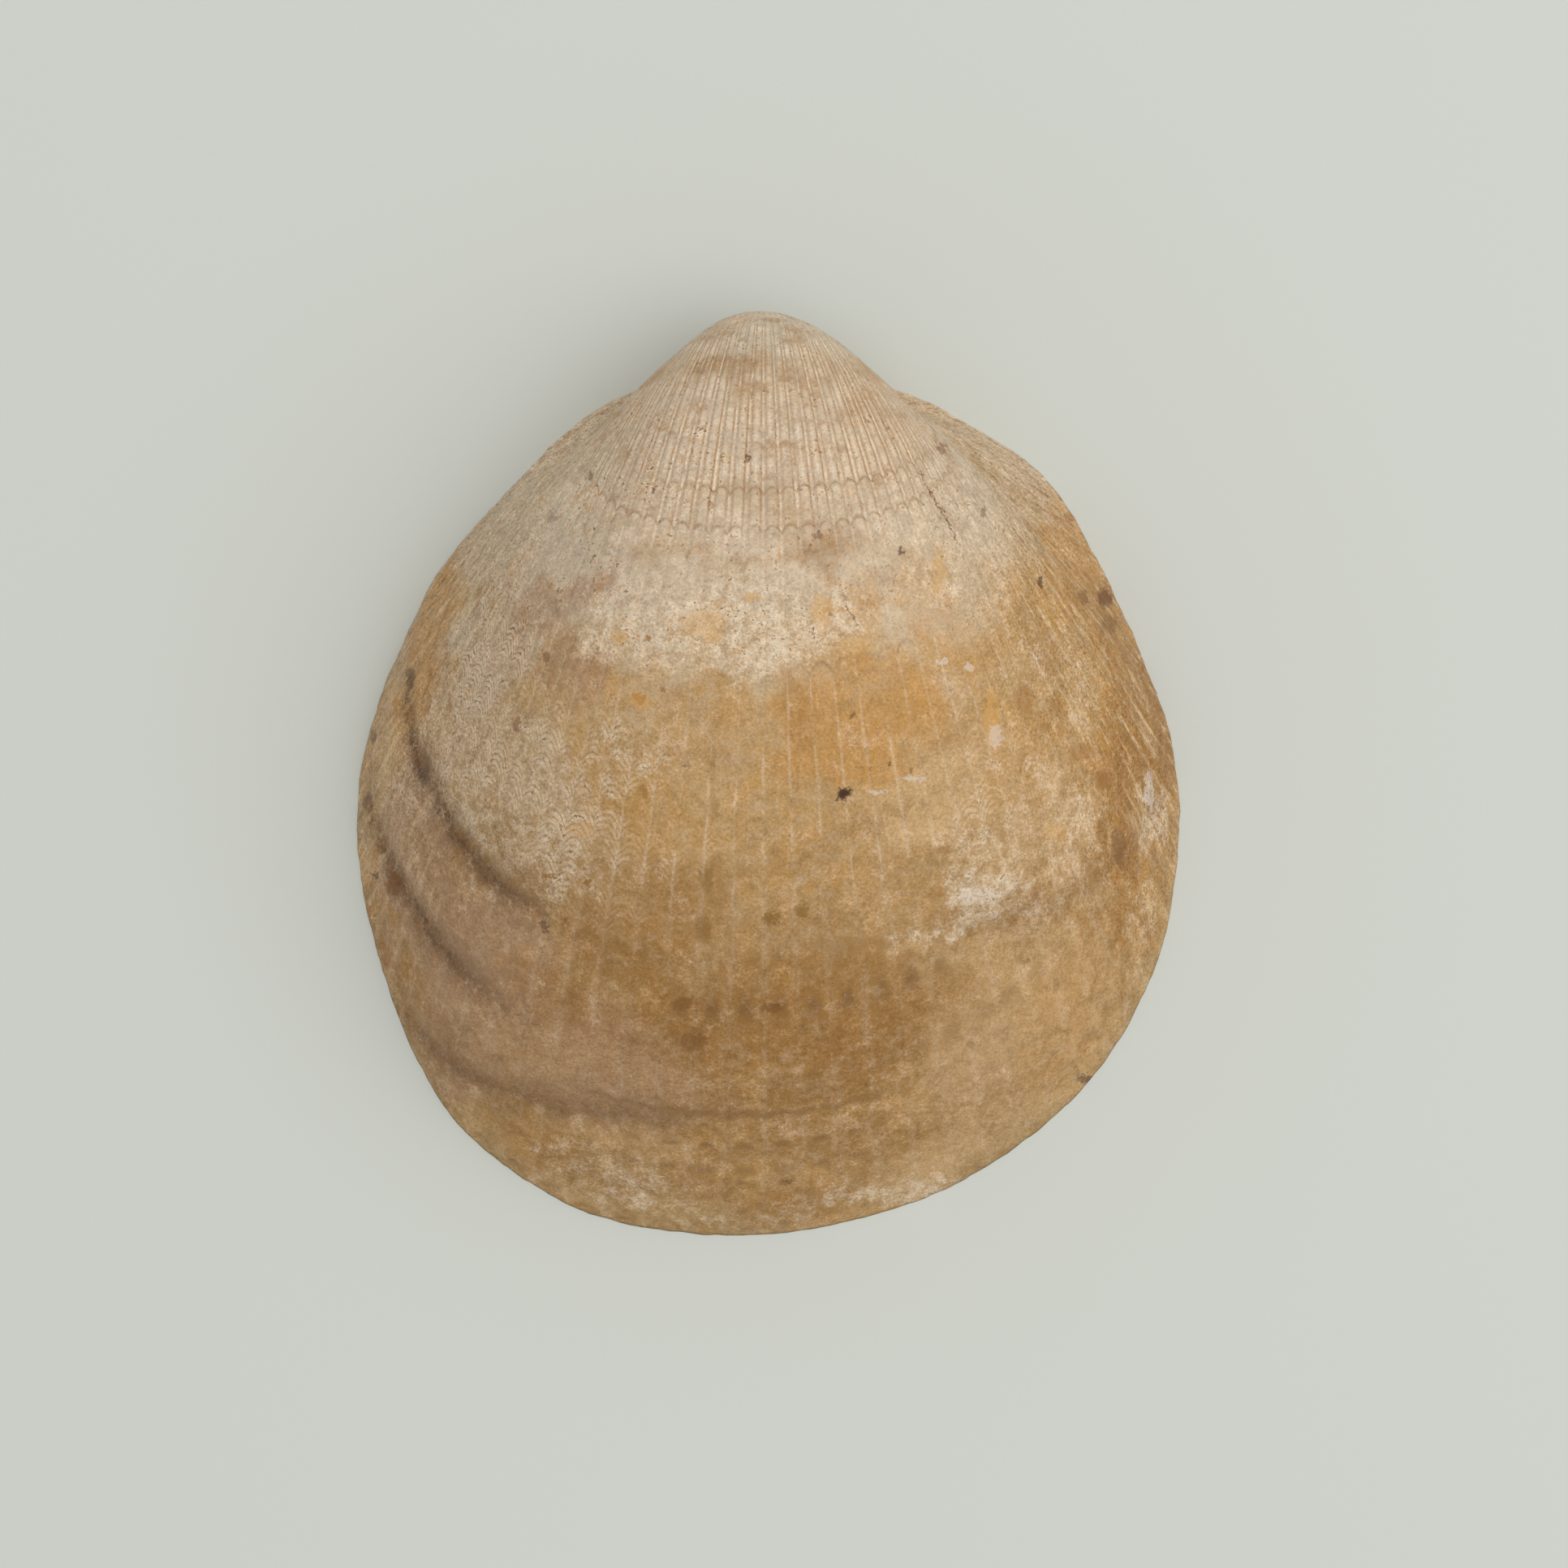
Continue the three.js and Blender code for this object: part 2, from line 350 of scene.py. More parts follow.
def makeMarginGuide():
    # A cyclic Bezier through the margin points, each handle a sixth of the way between neighbours.
    curve = bpy.data.curves.new("marginGuide", "CURVE")
    curve.dimensions = "3D"
    curve.resolution_u = 48
    spline = curve.splines.new("BEZIER")
    spline.bezier_points.add(len(marginPoints) - 1)
    spline.use_cyclic_u = True
    count = len(marginPoints)
    for i, knot in enumerate(spline.bezier_points):
        x, y = marginPoints[i]
        before = marginPoints[i - 1]
        after = marginPoints[(i + 1) % count]
        reachX = (after[0] - before[0]) / 6
        reachY = (after[1] - before[1]) / 6
        knot.handle_left_type = knot.handle_right_type = "FREE"
        knot.co = (x * mm, y * mm, 0)
        knot.handle_left = ((x - reachX) * mm, (y - reachY) * mm, 0)
        knot.handle_right = ((x + reachX) * mm, (y + reachY) * mm, 0)
    return addObject("marginGuide", curve)


class Inputs:
    # The tree's named inputs, and the values that the modifier gets by their identifiers.
    kinds = {int: "NodeSocketInt", float: "NodeSocketFloat", tuple: "NodeSocketVector"}

    def __init__(self, board):
        self.board = board
        self.given = {}
        self.node = board.add("NodeGroupInput")

    def declare(self, name, value, kind=None):
        face = self.board.tree.interface
        socket = face.new_socket(name, in_out="INPUT", socket_type=kind or self.kinds[type(value)])
        self.given[socket.identifier] = value

    def __getitem__(self, name):
        return Value(self.board, self.node.outputs[name])


def stageSize(board, inputs, turn):
    rate = inputs["Shrinking"] + inputs["More Shrinking"] * turn * 0.5
    return board.math("EXPONENT", turn * rate * -1.0)


def grown(board, inputs, point, turn):
    # where a point of the margin was at an earlier stage
    size = stageSize(board, inputs, turn)
    gain = inputs["Umbo Breadth"] * size ** inputs["Umbo Narrowing"] * (1.0 - size)
    x, y, z = board.split(point - inputs["Pole"])
    sine = board.math("SINE", turn)
    cosine = board.math("COSINE", turn)
    shrunk = board.join(x * (1.0 + gain), y * cosine + z * sine, z * cosine - y * sine)
    return inputs["Pole"] + shrunk * size


def marginCurve(board, inputs):
    return board.get("GeometryNodeObjectInfo", None, {"Object": inputs["Margin"]}, "Geometry")


def sampleMargin(board, inputs, share):
    # the point of the margin at a share of the way round, from the middle of the hinge
    sockets = {"Curves": marginCurve(board, inputs), "Factor": board.math("FRACT", share + 1.0)}
    settings = {"mode": "FACTOR", "use_all_curves": True}
    return board.get("GeometryNodeSampleCurve", settings, sockets, "Position")


def fanAngle(board, inputs, point):
    x, y, _ = board.split(point - inputs["Pole"])
    return board.math("ARCTAN2", x, y * -1.0)


def hingeShare(board, point, fan):
    # 0 on the fan of ribs, 1 on the hinge plate, both at a point of the margin
    byFan = board.step(board.math("ABSOLUTE", fan), radians(58), radians(79))
    y = board.split(point)[1]
    return board.most(byFan, board.step(y, 22.6 * mm, 23.4 * mm))


def ribDistance(board, inputs, fan):
    # 0 in the furrow between two ribs, 1 on the middle of a rib
    turns = fan / inputs["Rib Pitch"]
    return 2.0 * board.math("ABSOLUTE", turns - board.math("ROUND", turns))


def wallThickness(board, inputs, turn, fan, onHinge):
    size = stageSize(board, inputs, turn)
    notch = board.step(turn, radians(9), 0.0) * ribDistance(board, inputs, fan) ** 2.0
    plain = inputs["Rim Width"] - notch * inputs["Notch Depth"]
    plain = plain + inputs["Wall Gain"] * (1.0 - size)
    thick = inputs["Hinge Depth"] * board.math("SQRT", size)
    return plain + (thick - plain) * onHinge


def gridOf(board, columns, rows):
    # a grid whose position says how far round (x) and how far along (y) a point is, from 0 to 1
    sockets = {"Size X": 1.0, "Size Y": 1.0, "Vertices X": columns + 1, "Vertices Y": rows + 1}
    grid = board.get("GeometryNodeMeshGrid", None, sockets, "Mesh")
    x, y, _ = board.split(board.get("GeometryNodeInputPosition"))
    return grid, x + 0.5, y + 0.5


def move(board, geometry, place=None, offset=None):
    sockets = {"Geometry": geometry}
    if place is not None:
        sockets["Position"] = place
    if offset is not None:
        sockets["Offset"] = offset
    return board.get("GeometryNodeSetPosition", None, sockets)


def store(board, geometry, name, value):
    settings = {"data_type": "FLOAT", "domain": "POINT"}
    sockets = {"Geometry": geometry, "Name": name, "Value": value}
    return board.get("GeometryNodeStoreNamedAttribute", settings, sockets)


def stored(board, name):
    settings = {"data_type": "FLOAT"}
    return board.get("GeometryNodeInputNamedAttribute", settings, {"Name": name})


def surface(board, inputs, rows, part, shape):
    # One sheet of the shell. shape gets the place on the margin and the share along the sheet,
    # and returns a point and the turn of its stage. The fan angle, the size of the stage, the
    # share of hinge and the part are kept with each point.
    grid, around, along = gridOf(board, inputs["Columns"], rows)
    edge = sampleMargin(board, inputs, around)
    wobble = board.noise(edge, 420.0, 4.0, 0.6, "Color") - (0.5, 0.5, 0.5)
    edge = edge + wobble * (0.4 * mm, 0.4 * mm, 0.0)
    fan = fanAngle(board, inputs, edge)
    onHinge = hingeShare(board, edge, fan)
    place, turn = shape(edge, along, fan, onHinge)
    facts = {
        "fan": fan * degrees(1),
        "size": stageSize(board, inputs, turn),
        "hinge": onHinge,
        "part": part,
    }
    for name, value in facts.items():
        grid = store(board, grid, name, value)
    return move(board, grid, place)


def outerSheet(board, inputs):
    def shape(edge, along, fan, onHinge):
        turn = inputs["Beak Turn"] * along ** 1.35
        close = board.step(along, 0.985, 1.0)
        middle = grown(board, inputs, inputs["Cavity Middle"], turn)
        outside = grown(board, inputs, edge, turn)
        return outside + (middle - outside) * close, turn
    sheet = surface(board, inputs, inputs["Outer Rows"], 0.0, shape)
    return board.get("GeometryNodeFlipFaces", None, {"Mesh": sheet})


def rimSheet(board, inputs):
    def shape(edge, along, fan, onHinge):
        inward = board.unit(inputs["Cavity Middle"] - edge)
        width = wallThickness(board, inputs, 0.0, fan, onHinge)
        # the hinge plate lies a little higher than the edge, and the teeth stand on it
        plate = board.step(along, 0.1, 0.2) * board.step(onHinge, 0.5, 1.0)
        height = plate * inputs["Tooth Socket Depth"]
        return edge + inward * (width * along) + board.join(0.0, 0.0, height), 0.0
    return surface(board, inputs, inputs["Rim Rows"], 1.0, shape)


def innerSheet(board, inputs):
    def shape(edge, along, fan, onHinge):
        turn = inputs["Cavity Turn"] * along ** 1.2
        middle = grown(board, inputs, inputs["Cavity Middle"], turn)
        outside = grown(board, inputs, edge, turn)
        inward = board.unit(middle - outside)
        inside = outside + inward * wallThickness(board, inputs, turn, fan, onHinge)
        plate = board.step(turn, radians(6), 0.0) * board.step(onHinge, 0.5, 1.0)
        inside = inside + board.join(0.0, 0.0, plate * inputs["Tooth Socket Depth"])
        close = board.step(along, 0.72, 1.0)
        return inside + (middle - inside) * close, turn
    return surface(board, inputs, inputs["Inner Rows"], 2.0, shape)


def outerRelief(board, inputs):
    # how far the surface stands out from the plain growth rule, over the outside
    fan = stored(board, "fan")
    size = stored(board, "size")
    onFan = 1.0 - board.step(stored(board, "hinge"), 0.6, 1.0)
    turned = fan * radians(1)
    across = ribDistance(board, inputs, turned)
    place = board.get("GeometryNodeInputPosition")
    furrow = board.bell(across, 0.0, 0.34)
    strength = board.noise(place, 220.0) * 1.4
    ribs = furrow * inputs["Rib Depth"] * size ** 0.5 * strength * -1.0
    stage = size + inputs["Scallop"] * size * across * (2.0 - across)
    rough = board.noise(place, 90.0, 3.0)
    lines = board.math("SINE", stage * 330.0 + rough * 9.0) * inputs["Growth Line Depth"]
    lines = lines * board.step(board.noise(place, 130.0), 0.42, 0.62)
    wave = (board.noise(place, 75.0, 3.0, 0.6) - 0.5) * inputs["Waviness"]
    height = ribs + lines + wave
    wander = (board.noise(place, 260.0) - 0.5) * 0.012
    for ledge in ledges:
        line = ledge["size"] + turned * turned * ledge["bend"]
        drop = board.bell(size + (stage - size) * 0.4 + wander, line, ledge["width"])
        drop = drop * board.band(fan, *ledge["fan"], ledge["soft"])
        height = height - drop * (ledge["depth"] * mm)
    fade = board.step(size, 1.0, 0.965)
    isOuter = board.step(stored(board, "part"), 0.5, 0.0)
    return height * fade * onFan * isOuter


def makeMarkGroup(kind, turned):
    # A group that lays one soft-edged oval mark on a plan in millimetres, over what is there.
    tree = bpy.data.node_groups.new("mark", kind + "Tree")
    board = Board(tree)
    for name in ("Plan", "Middle", "Half Size"):
        tree.interface.new_socket(name, in_out="INPUT", socket_type="NodeSocketVector")
    for name in ("Turn", "Strength", "Before"):
        tree.interface.new_socket(name, in_out="INPUT", socket_type="NodeSocketFloat")
    tree.interface.new_socket("After", in_out="OUTPUT", socket_type="NodeSocketFloat")
    given = board.add("NodeGroupInput").outputs
    plan, middle, halfSize, turn, strength, before = [Value(board, s) for s in given[:6]]
    away = plan - middle
    if turned:
        sockets = {"Vector": away, "Angle": turn * -1.0}
        away = board.get("ShaderNodeVectorRotate", {"rotation_type": "Z_AXIS"}, sockets)
    away = away / halfSize
    field = board.step(board.dot(away, away), 1.7, 0.3) * strength
    board.add("NodeGroupOutput", None, {0: board.most(field, before)})
    return tree


def markField(board, kind, entries, plan, group):
    field = 0.0
    for (x, y), (halfWidth, halfHeight), strength, *turn in entries:
        sockets = {
            "Plan": plan,
            "Middle": (x, y, 0.0),
            "Half Size": (halfWidth, halfHeight, 1.0),
            "Turn": radians(turn[0]) if turn else 0.0,
            "Strength": strength,
            "Before": field,
        }
        field = board.get(kind + "Group", {"node_tree": group}, sockets)
    return field


def keepPatches(board, shell):
    # each patch list becomes an attribute that the finish reads
    place = board.get("GeometryNodeInputPosition") * (1 / mm)
    coarse = board.noise(place, 0.26, 2.0, 0.5, "Color") - (0.5, 0.5, 0.5)
    fine = board.noise(place, 0.9, 2.0, 0.5, "Color") - (0.5, 0.5, 0.5)
    plan = (place + coarse * 4.0 + fine * 1.6) * (1.0, 1.0, 0.0)
    group = makeMarkGroup("GeometryNode", True)
    for name, entries in patches.items():
        field = markField(board, "GeometryNode", entries, plan, group)
        shell = store(board, shell, name, field)
    return shell


def toothRow(board, inputs):
    # the teeth on both sides of the middle of the hinge, longer away from it
    count = inputs["Teeth Each Side"]
    points = board.get("GeometryNodePoints", None, {"Count": count * 2.0})
    place = board.get("GeometryNodeInputIndex") - (count - 0.5)
    side = board.math("SIGN", place)
    number = board.math("ABSOLUTE", place) - 0.5
    around = board.get("GeometryNodeCurveLength", None, {"Curve": marginCurve(board, inputs)})
    edge = sampleMargin(board, inputs, side * (number + 0.5) * inputs["Tooth Pitch"] / around)
    inward = board.unit(inputs["Cavity Middle"] - edge)
    place = edge + inward * inputs["Tooth Row"]
    place = place + board.join(0.0, 0.0, inputs["Tooth Socket Depth"])
    points = move(board, points, place)
    ball = board.get("GeometryNodeMeshUVSphere", None, {"Segments": 12, "Rings": 8, "Radius": 0.5})
    turned = board.get(
        "FunctionNodeAlignRotationToVector", {"axis": "Y"}, {"Vector": inward}, "Rotation")
    shortest = inputs["Tooth Shortest"]
    growing = board.step(number, 0.0, count / 2.0)
    length = shortest + (inputs["Tooth Longest"] - shortest) * growing
    scale = board.join(inputs["Tooth Width"], length, inputs["Tooth Height"] * 2.0)
    sockets = {"Points": points, "Instance": ball, "Rotation": turned, "Scale": scale}
    row = board.get("GeometryNodeInstanceOnPoints", None, sockets)
    row = board.get("GeometryNodeRealizeInstances", None, {"Geometry": row})
    facts = {"fan": 0.0, "size": 1.0, "hinge": 1.0, "part": 1.0}
    facts.update({name: 0.0 for name in patches})
    for name, value in facts.items():
        row = store(board, row, name, value)
    return row


def joinAll(board, parts):
    node = board.add("GeometryNodeJoinGeometry")
    for part in parts:
        board.tree.links.new(part.socket, node.inputs[0])
    return Value(board, node.outputs[0])


def growValve(material):
    guide = makeMarginGuide()
    tree = bpy.data.node_groups.new("growValve", "GeometryNodeTree")
    board = Board(tree)
    inputs = Inputs(board)
    tree.interface.new_socket("Geometry", in_out="OUTPUT", socket_type="NodeSocketGeometry")
    inputs.declare("Margin", guide, "NodeSocketObject")
    inputs.declare("Finish", material, "NodeSocketMaterial")
    for name, value in clamValve.items():
        inputs.declare(name, value)
    sheets = [make(board, inputs) for make in (outerSheet, rimSheet, innerSheet)]
    # the sheets share their edges, and their own seams close here
    sockets = {"Geometry": joinAll(board, sheets), "Distance": 0.002 * mm}
    shell = keepPatches(board, board.get("GeometryNodeMergeByDistance", None, sockets))
    outward = board.get("GeometryNodeInputNormal")
    shell = move(board, shell, None, outward * outerRelief(board, inputs))
    whole = joinAll(board, [shell, toothRow(board, inputs)])
    real = board.get("GeometryNodeRealizeInstances", None, {"Geometry": whole})
    smooth = board.get("GeometryNodeSetShadeSmooth", None, {"Geometry": real})
    sockets = {"Geometry": smooth, "Material": inputs["Finish"]}
    finished = board.get("GeometryNodeSetMaterial", None, sockets)
    board.add("NodeGroupOutput", None, {"Geometry": finished})

    maker = addObject("maker", bpy.data.meshes.new("maker"))
    modifier = maker.modifiers.new("growth", "NODES")
    modifier.node_group = tree
    for identifier, value in inputs.given.items():
        modifier[identifier] = value
    depsgraph = bpy.context.evaluated_depsgraph_get()
    plain = bpy.data.meshes.new_from_object(maker.evaluated_get(depsgraph))
    bpy.data.objects.remove(maker)
    bpy.data.objects.remove(guide)
    plain.name = "clamValve"
    valve = addObject("clamValve", plain)
    print("valve grown:", len(plain.vertices), "points,", len(plain.polygons), "faces")
    return valve


def tint(red, green, blue):
    # a colour given as it shows on a screen, 0 to 255, as the linear values that nodes use
    def linear(c):
        c = c / 255
        return c / 12.92 if c <= 0.04045 else ((c + 0.055) / 1.055) ** 2.4
    return (linear(red), linear(green), linear(blue), 1.0)


palette = {
    "dirt": tint(70, 42, 24),
    "umberSpot": tint(118, 74, 28),
    "oliveSpot": tint(138, 100, 42),
    "rust": tint(186, 128, 52),
    "amberSpot": tint(148, 98, 42),
    "honeySpot": tint(208, 156, 80),
    "ash": tint(203, 184, 161),
    "grime": tint(108, 80, 46),
    "scratch": tint(222, 208, 196),
    "youngBrown": tint(186, 147, 104),
    "flankRust": tint(176, 124, 70),
    "dashes": tint(122, 86, 44),
    "vein": tint(232, 216, 190),
    "chalk": tint(220, 201, 175),
    "chalkShade": tint(190, 162, 126),
    "golden": tint(192, 143, 74),
    "mauveGrey": tint(166, 136, 108),
    "cream": tint(207, 180, 141),
    "ochre": tint(188, 135, 64),
    "mauve": tint(173, 138, 105),
    "brown": tint(152, 108, 52),
    # dirt and painted shade for the growth ledges
    "groove": tint(92, 62, 36),
    "leftFlank": tint(184, 154, 118),
    "rightFlank": tint(188, 148, 94),
    "shoulder": tint(209, 187, 158),
    "pale": tint(202, 166, 118),
    "paleRib": tint(222, 205, 182),
    "ribBrown": tint(166, 124, 82),
    "arcPale": tint(208, 186, 154),
    # dark growth lines; beside the pale arcs it is also painted shade
    "arcDark": tint(144, 106, 68),
    "inside": tint(226, 217, 198),
    "insideStain": tint(176, 140, 98),
    "ligament": tint(150, 114, 74),
    "ligamentDark": tint(104, 74, 44),
}

# Colour of the worn surface by the stage of growth: the share of today's size and the colour.
stageColours = [
    (0.10, tint(210, 192, 168)),
    (0.19, tint(210, 192, 166)),
    (0.215, tint(202, 176, 142)),
    (0.25, tint(210, 188, 162)),
    (0.36, tint(205, 183, 156)),
    (0.42, tint(207, 186, 158)),
    (0.475, tint(199, 172, 136)),
    (0.52, tint(187, 150, 100)),
    (0.62, tint(184, 146, 94)),
    (0.70, tint(174, 137, 88)),
    (0.76, tint(163, 122, 68)),
    (0.80, tint(157, 113, 57)),
    (0.86, tint(163, 122, 68)),
    (0.93, tint(168, 127, 74)),
    (1.00, tint(180, 148, 100)),
]

# Small marks, seen from above: the middle (mm), the half lengths (mm), the strength.
spots = {
    "dirt": [
        ((4.48, -1.12), (0.46, 0.4), 1.0),
        ((7.8, 13.4), (0.16, 0.3), 0.7),
        ((-4.8, 0.6), (0.4, 0.14), 0.5),
        ((7.2, 0.6), (0.16, 0.16), 0.6),
        ((5.0, 3.6), (0.2, 0.16), 0.6),
        ((-13.5, -9.1), (0.22, 0.4), 0.6),
        ((-24.3, 2.4), (0.2, 0.5), 0.6),
        ((-24.6, -1.6), (0.3, 0.7), 0.5),
        ((-24.2, -6.2), (0.26, 0.16), 0.7),
        ((19.5, -18.7), (0.7, 0.3), 0.6),
        ((16.5, 11.7), (0.22, 0.3), 0.7),
        ((-20.9, 0.5), (0.6, 1.1), 0.4),
        ((1.2, -24.9), (0.5, 0.14), 0.5),
        ((-1.3, 19.0), (0.2, 0.32), 0.5),
        ((-10.8, 18.1), (0.3, 0.3), 0.5),
        ((-13.1, 15.5), (0.4, 0.3), 0.4),
        ((-21.9, 5.9), (0.26, 0.8), 0.6),
    ],
    "umberSpot": [
        ((-1.3, 19.0), (0.24, 0.29), 0.7),
        ((3.1, 14.3), (0.42, 0.21), 0.6),
        ((2.6, 13.4), (0.63, 0.17), 0.4),
        ((13.0, 15.9), (0.17, 0.42), 0.6),
        ((10.5, 19.8), (0.28, 0.42), 0.6),
        ((19.2, 10.9), (0.35, 0.49), 0.6),
        ((20.6, 10.9), (0.5, 0.6), 0.9),
        ((20.8, 9.2), (0.56, 0.63), 0.5),
        ((-13.3, 7.1), (0.21, 0.42), 0.6),
        ((8.5, 0.3), (0.14, 0.14), 0.6),
        ((5.1, -1.8), (0.12, 0.14), 0.5),
        ((-23.0, -6.7), (0.49, 0.84), 0.7),
        ((21.3, -4.4), (0.5, 1.2), 0.6),
        ((21.9, -1.9), (0.35, 0.49), 0.4),
        ((15.6, -11.3), (0.35, 0.24), 0.5),
        ((-5.2, -13.8), (0.63, 0.49), 0.5),
        ((-4.6, -16.1), (0.84, 0.7), 0.6),
        ((0.1, -14.0), (0.7, 0.28), 0.6),
        ((-15.1, 3.0), (0.28, 0.63), 0.6),
        ((-12.3, -20.6), (0.56, 0.35), 0.4),
    ],
    "amberSpot": [
        ((-7.2, 8.1), (0.2, 0.18), 0.7),
        ((-7.7, 4.6), (0.3, 0.36), 0.8),
        ((-6.2, 5.1), (0.24, 0.18), 0.7),
        ((-9.3, 4.8), (0.18, 0.16), 0.7),
        ((-7.5, -1.0), (0.24, 0.42), 0.6),
        ((-10.9, -6.5), (0.3, 0.24), 0.8),
        ((-13.1, -6.1), (0.54, 0.14), 0.8),
        ((15.4, 4.6), (0.6, 1.1), 0.4),
        ((20.3, -0.3), (0.5, 0.7), 0.7),
        ((19.0, 1.4), (0.9, 0.6), 0.4),
        ((10.4, -4.5), (0.48, 0.3), 0.5),
        ((16.1, -7.2), (0.3, 0.54), 0.5),
        ((4.4, 19.6), (0.42, 0.3), 0.4),
        ((-3.4, 16.0), (0.16, 0.36), 0.5),
        ((14.0, -3.6), (0.3, 0.54), 0.4),
        ((19.7, -6.0), (0.3, 0.72), 0.4),
    ],
    "honeySpot": [
        ((-3.9, 9.0), (1.5, 1.0), 0.35),
        ((-3.2, 8.2), (0.6, 0.4), 0.4),
        ((-8.9, 8.2), (0.5, 0.4), 0.5),
        ((3.2, 9.8), (0.7, 1.1), 0.45),
        ((5.2, 7.8), (1.2, 0.7), 0.35),
        ((-11.2, -3.2), (0.9, 0.5), 0.35),
        ((-7.6, 4.4), (0.7, 0.6), 0.5),
        ((10.2, 12.2), (0.5, 1.6), 0.4),
        ((13.4, 3.6), (0.5, 1.8), 0.5),
        ((17.4, -3.4), (0.8, 0.6), 0.4),
        ((-1.0, 10.6), (0.6, 0.3), 0.5),
    ],
    "oliveSpot": [
        ((0.15, -8.6), (0.55, 0.4), 0.9),
        ((2.0, -8.2), (0.49, 0.4), 0.75),
        ((-3.9, -9.2), (0.49, 0.85), 0.6),
        ((-3.7, -6.3), (0.39, 0.85), 0.5),
        ((-3.1, -2.1), (0.33, 0.59), 0.4),
        ((-1.8, -5.5), (0.52, 0.45), 0.3),
        ((0.6, -5.6), (0.45, 0.52), 0.25),
        ((12.3, -16.3), (0.33, 0.33), 0.5),
        ((-1.0, -10.9), (0.65, 0.52), 0.4),
        ((5.0, -10.2), (2.6, 0.6), 0.35),
    ],
    "scratch": [
        ((10.5, 6.8), (0.3, 0.24), 0.5),
        ((12.0, 6.5), (0.44, 0.26), 0.5),
        ((13.7, 2.4), (0.4, 0.7), 0.45),
        ((8.7, -0.2), (0.8, 0.14), 0.55),
        ((6.6, -1.0), (0.7, 0.14), 0.5),
        ((23.3, -0.9), (0.35, 1.3), 0.5),
        ((12.6, -7.2), (1.4, 0.5), 0.35),
    ],
}

# Fine dark cracks, seen from above, from one end to the other (mm), and one faint ring.
cracks = [((8.8, 18.6), (11.6, 13.8)), ((4.3, 10.9), (5.3, 8.9))]
ring = {"middle": (-0.8, -3.2, 0.0), "radius": 0.6}

# How each stain looks: how ragged its edge is, where it begins and where it is full, its strength.
stains = {
    "pale": (1.0, 0.0, 1.1, 0.7),
    "ash": (1.5, 0.0, 1.1, 0.7),
    "mauve": (0.9, 0.0, 1.0, 0.8),
    "ochre": (1.0, -0.1, 1.3, 0.72),
    "brown": (1.0, 0.0, 1.1, 0.75),
}

# Single growth lines: the stage, the width, the fan angles that the line runs between (degrees),
# how softly it ends there, the strength.
scallopLines = [
    (0.345, 0.0016, (-14, 28), 12, 1.0),
    (0.378, 0.0018, (-30, 36), 8, 1.0),
    (0.492, 0.0022, (6, 16), 5, 1.0),
    (0.305, 0.0014, (-24, 4), 9, 0.5),
]

# Where growth lines show close together: the fan angles (degrees) and how softly they end, the
# stages and how softly they end, the strength.
arcZones = [
    ((-38, -14), 8, (0.55, 0.69), 0.04, 1.0),
    ((20, 36), 6, (0.56, 0.66), 0.04, 0.8),
    ((-6, 8), 5, (0.61, 0.65), 0.02, 0.6),
]


def read(board, name):
    return board.get("ShaderNodeAttribute", {"attribute_name": name}, None, "Fac")


def crackBetween(board, plan, first, last):
    # a hairline from one point to another, both seen from above
    run = (last[0] - first[0], last[1] - first[1])
    reach = (run[0] ** 2 + run[1] ** 2) ** 0.5
    x, y, _ = board.split(plan - (*first, 0.0))
    along = (x * run[0] + y * run[1]) / reach
    aside = (y * run[0] - x * run[1]) / reach
    return board.bell(aside, 0.0, 0.06) * board.band(along, 0.2, reach - 0.2, 0.3)


def newMaterial(name):
    material = bpy.data.materials.new(name)
    material.use_nodes = True
    material.node_tree.nodes.clear()
    return material, Board(material.node_tree)


def shade(board, sockets):
    shader = board.get("ShaderNodeBsdfPrincipled", None, sockets)
    board.add("ShaderNodeOutputMaterial", None, {"Surface": shader})


